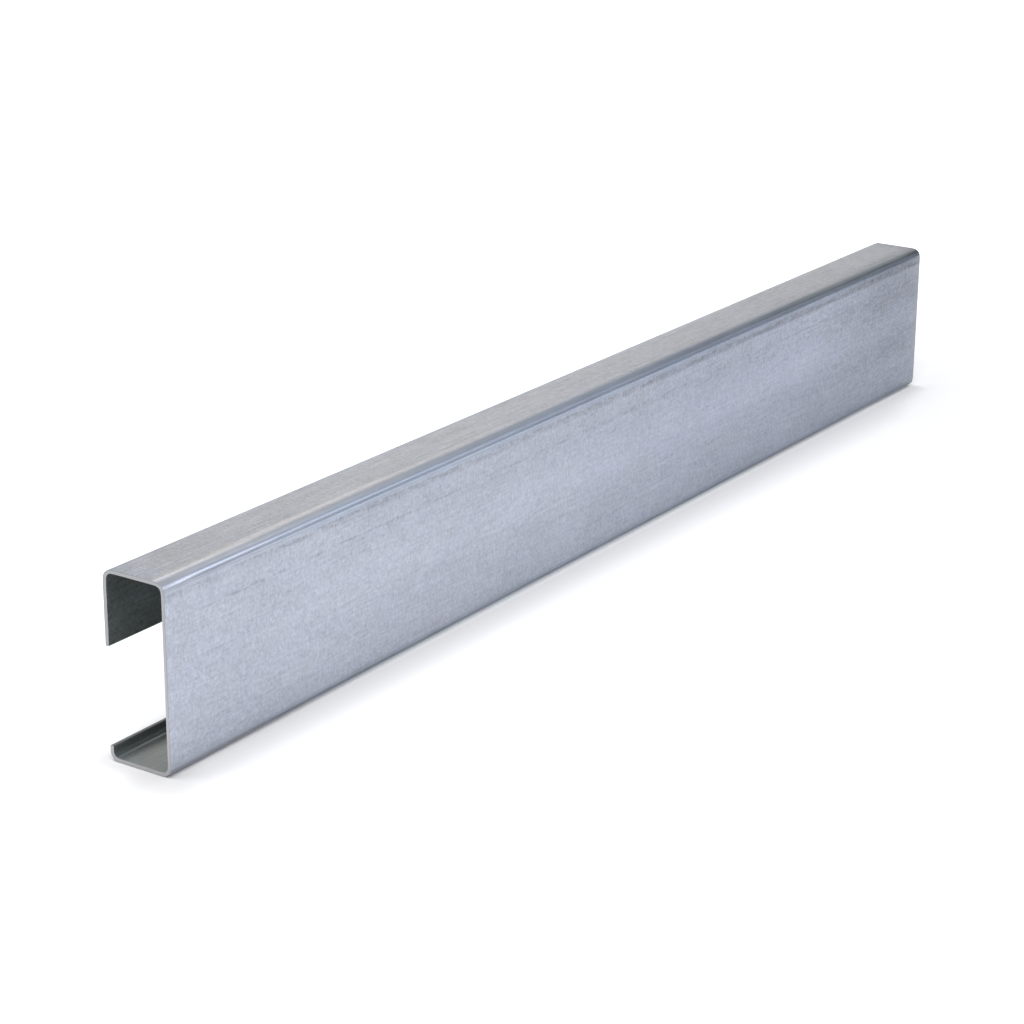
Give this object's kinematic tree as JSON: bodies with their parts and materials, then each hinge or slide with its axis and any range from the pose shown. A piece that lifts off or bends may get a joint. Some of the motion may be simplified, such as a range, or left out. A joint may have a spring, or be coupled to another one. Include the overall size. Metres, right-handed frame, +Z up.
{
  "type": "c-purlin",
  "caption": "Cold-formed galvanised steel C-purlin with square cut ends, a deep lip on the top flange and a short lip on the bottom flange.",
  "frame": {"origin": "middle of the underside: half way along the length and half way across the flange width, on the bottom flange's outer face", "axes": "+X across the flanges, from the lips to the web, so the web's outer face looks along +X; +Y along the length; +Z up the web, from the short-lipped flange to the deep-lipped one"},
  "size_m": [0.0384, 0.8, 0.1],
  "materials": {
    "galvanised_steel": "hot-dip galvanised, minimised spangle, satin grey with a faint blue cast"
  },
  "bodies": {
    "root": {"c_purlin": "galvanised_steel"}
  },
  "joints": []
}
